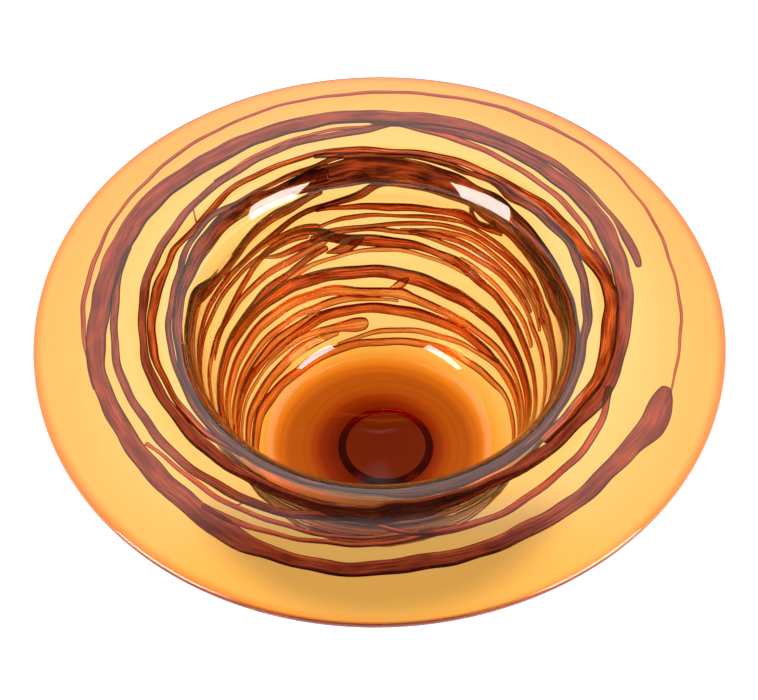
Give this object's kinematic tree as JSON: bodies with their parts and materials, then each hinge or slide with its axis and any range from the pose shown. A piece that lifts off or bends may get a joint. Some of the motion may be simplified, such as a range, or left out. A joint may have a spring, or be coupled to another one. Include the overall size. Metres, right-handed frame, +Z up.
{
  "type": "art glass bowl",
  "caption": "Blown amber glass bowl with a deep cup and a wide drooping rim, wound outside with fused dark glass threads; it holds fruit or small things, or stands as decoration.",
  "frame": {"origin": "middle of the flat foot that the bowl rests on", "axes": "+Z up, out of the bowl's mouth; -Y is the side from which the broad thread's blunt end is at the right front"},
  "size_m": [0.33, 0.33, 0.114],
  "materials": {
    "amber_glass": "clear amber blown glass, fire-polished; the hollow in the foot is ground and polished",
    "thread_glass": "dark red-brown to plum streaky glass, fused on hot, smooth with fine lengthwise streaks"
  },
  "bodies": {
    "root": {"bowl_body": "amber_glass", "back_parallel_trail": "thread_glass", "left_branch_trail": "thread_glass", "left_fine_trail": "thread_glass", "left_long_trail": "thread_glass", "low_parallel_trail": "thread_glass", "lowest_trail": "thread_glass", "neck_band_trail": "thread_glass", "neck_dip_trail": "thread_glass", "neck_ring_trail": "thread_glass", "neck_rising_trail": "thread_glass", "neck_under_trail": "thread_glass", "neck_upper_trail": "thread_glass", "right_branch_trail": "thread_glass", "rim_blunt_trail": "thread_glass", "rim_broad_trail": "thread_glass", "rim_hair_trail": "thread_glass", "start_trail": "thread_glass", "wall_broad_trail": "thread_glass", "wall_climbing_trail": "thread_glass", "wall_crossing_trail": "thread_glass", "wall_curl_trail": "thread_glass", "wall_heel_trail": "thread_glass", "wall_knot_trail": "thread_glass", "wall_light_trail": "thread_glass", "wall_middle_trail": "thread_glass", "wall_parallel_trail": "thread_glass", "wall_second_trail": "thread_glass", "wall_slip_trail": "thread_glass", "wall_swelling_trail": "thread_glass", "wall_third_trail": "thread_glass", "wall_upper_trail": "thread_glass"}
  },
  "joints": []
}
